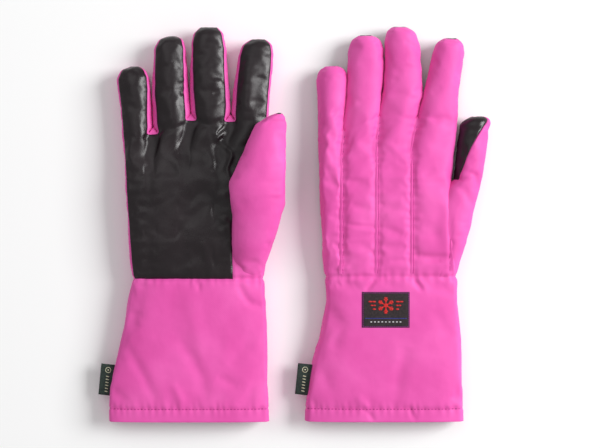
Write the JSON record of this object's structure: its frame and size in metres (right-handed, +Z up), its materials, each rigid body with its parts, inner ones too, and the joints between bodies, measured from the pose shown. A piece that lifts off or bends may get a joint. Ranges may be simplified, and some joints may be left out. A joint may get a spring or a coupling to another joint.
{
  "type": "cryogenic gloves",
  "caption": "Pair of insulated mid-arm gauntlet gloves lying flat, one palm up and one back up, with grip-coated palms, quilted backs, wide cuffs and hinged fingers.",
  "frame": {"origin": "under the middle of the pair, on the surface that it lies on", "axes": "+Y to the fingertips, +X from the palm-up glove to the back-up glove, +Z up"},
  "size_m": [0.3756, 0.3816, 0.0548],
  "materials": {
    "shell_nylon": "woven nylon, low satin",
    "grip_panel": "coated, satin",
    "insulation_felt": "matt padding",
    "liner_knit": "matt knit",
    "woven_label": "woven, matt",
    "tab_tape": "woven tape"
  },
  "bodies": {
    "right_hand": {"right_hand_back": "shell_nylon", "right_palm_grip": "grip_panel", "right_thumb_gusset": "shell_nylon", "right_hand_insulation": "insulation_felt", "right_hand_liner": "liner_knit"},
    "right_cuff": {"right_cuff_shell": "shell_nylon", "right_cuff_insulation": "insulation_felt", "right_cuff_liner": "liner_knit", "right_label_patch": "woven_label", "right_side_tab": "tab_tape"},
    "right_thumb": {"right_thumb_shell": "shell_nylon", "right_thumb_grip": "grip_panel", "right_thumb_insulation": "insulation_felt", "right_thumb_liner": "liner_knit"},
    "right_little": {"right_little_shell": "shell_nylon", "right_little_grip": "grip_panel", "right_little_insulation": "insulation_felt", "right_little_liner": "liner_knit"},
    "right_ring": {"right_ring_shell": "shell_nylon", "right_ring_grip": "grip_panel", "right_ring_insulation": "insulation_felt", "right_ring_liner": "liner_knit"},
    "right_middle": {"right_middle_shell": "shell_nylon", "right_middle_grip": "grip_panel", "right_middle_insulation": "insulation_felt", "right_middle_liner": "liner_knit"},
    "right_index": {"right_index_shell": "shell_nylon", "right_index_grip": "grip_panel", "right_index_insulation": "insulation_felt", "right_index_liner": "liner_knit"},
    "left_hand": {"left_hand_back": "shell_nylon", "left_palm_grip": "grip_panel", "left_thumb_gusset": "shell_nylon", "left_hand_insulation": "insulation_felt", "left_hand_liner": "liner_knit"},
    "left_cuff": {"left_cuff_shell": "shell_nylon", "left_cuff_insulation": "insulation_felt", "left_cuff_liner": "liner_knit", "left_label_patch": "woven_label", "left_side_tab": "tab_tape"},
    "left_thumb": {"left_thumb_shell": "shell_nylon", "left_thumb_grip": "grip_panel", "left_thumb_insulation": "insulation_felt", "left_thumb_liner": "liner_knit"},
    "left_little": {"left_little_shell": "shell_nylon", "left_little_grip": "grip_panel", "left_little_insulation": "insulation_felt", "left_little_liner": "liner_knit"},
    "left_ring": {"left_ring_shell": "shell_nylon", "left_ring_grip": "grip_panel", "left_ring_insulation": "insulation_felt", "left_ring_liner": "liner_knit"},
    "left_middle": {"left_middle_shell": "shell_nylon", "left_middle_grip": "grip_panel", "left_middle_insulation": "insulation_felt", "left_middle_liner": "liner_knit"},
    "left_index": {"left_index_shell": "shell_nylon", "left_index_grip": "grip_panel", "left_index_insulation": "insulation_felt", "left_index_liner": "liner_knit"}
  },
  "joints": [
    {"name": "left_glove_lift", "type": "slide", "parent": "right_hand", "child": "left_hand", "axis": [0, 0, 1], "range_m": [0, 0.15]},
    {"name": "right_wrist_bend", "type": "hinge", "parent": "right_hand", "child": "right_cuff", "pos_m": [-0.0928, -0.0525, 0.0135], "axis": [-1, 0, 0], "range_deg": [-40, 40]},
    {"name": "right_thumb_swing", "type": "hinge", "parent": "right_hand", "child": "right_thumb", "pos_m": [-0.0228, 0.0335, 0.043], "axis": [0, 0, -1], "range_deg": [-12, 35]},
    {"name": "right_little_bend", "type": "hinge", "parent": "right_hand", "child": "right_little", "pos_m": [-0.1512, 0.0875, 0.025], "axis": [1, 0, 0], "range_deg": [0, 75]},
    {"name": "right_ring_bend", "type": "hinge", "parent": "right_hand", "child": "right_ring", "pos_m": [-0.118, 0.1005, 0.025], "axis": [1, 0, 0], "range_deg": [0, 75]},
    {"name": "right_middle_bend", "type": "hinge", "parent": "right_hand", "child": "right_middle", "pos_m": [-0.08105, 0.1005, 0.025], "axis": [1, 0, 0], "range_deg": [0, 75]},
    {"name": "right_index_bend", "type": "hinge", "parent": "right_hand", "child": "right_index", "pos_m": [-0.0435, 0.108, 0.025], "axis": [1, 0, 0], "range_deg": [0, 75]},
    {"name": "left_wrist_bend", "type": "hinge", "parent": "left_hand", "child": "left_cuff", "pos_m": [0.0932, -0.0505, 0.0135], "axis": [1, 0, 0], "range_deg": [-40, 40]},
    {"name": "left_thumb_swing", "type": "hinge", "parent": "left_hand", "child": "left_thumb", "pos_m": [0.1692, 0.0355, 0.0125], "axis": [0, 0, -1], "range_deg": [0, 35]},
    {"name": "left_little_bend", "type": "hinge", "parent": "left_hand", "child": "left_little", "pos_m": [0.0339, 0.0895, 0], "axis": [-1, 0, 0], "range_deg": [0, 75]},
    {"name": "left_ring_bend", "type": "hinge", "parent": "left_hand", "child": "left_ring", "pos_m": [0.0639, 0.1025, 0], "axis": [-1, 0, 0], "range_deg": [0, 75]},
    {"name": "left_middle_bend", "type": "hinge", "parent": "left_hand", "child": "left_middle", "pos_m": [0.0993, 0.1025, 0], "axis": [-1, 0, 0], "range_deg": [0, 75]},
    {"name": "left_index_bend", "type": "hinge", "parent": "left_hand", "child": "left_index", "pos_m": [0.13845, 0.11, 0], "axis": [-1, 0, 0], "range_deg": [0, 75]}
  ]
}
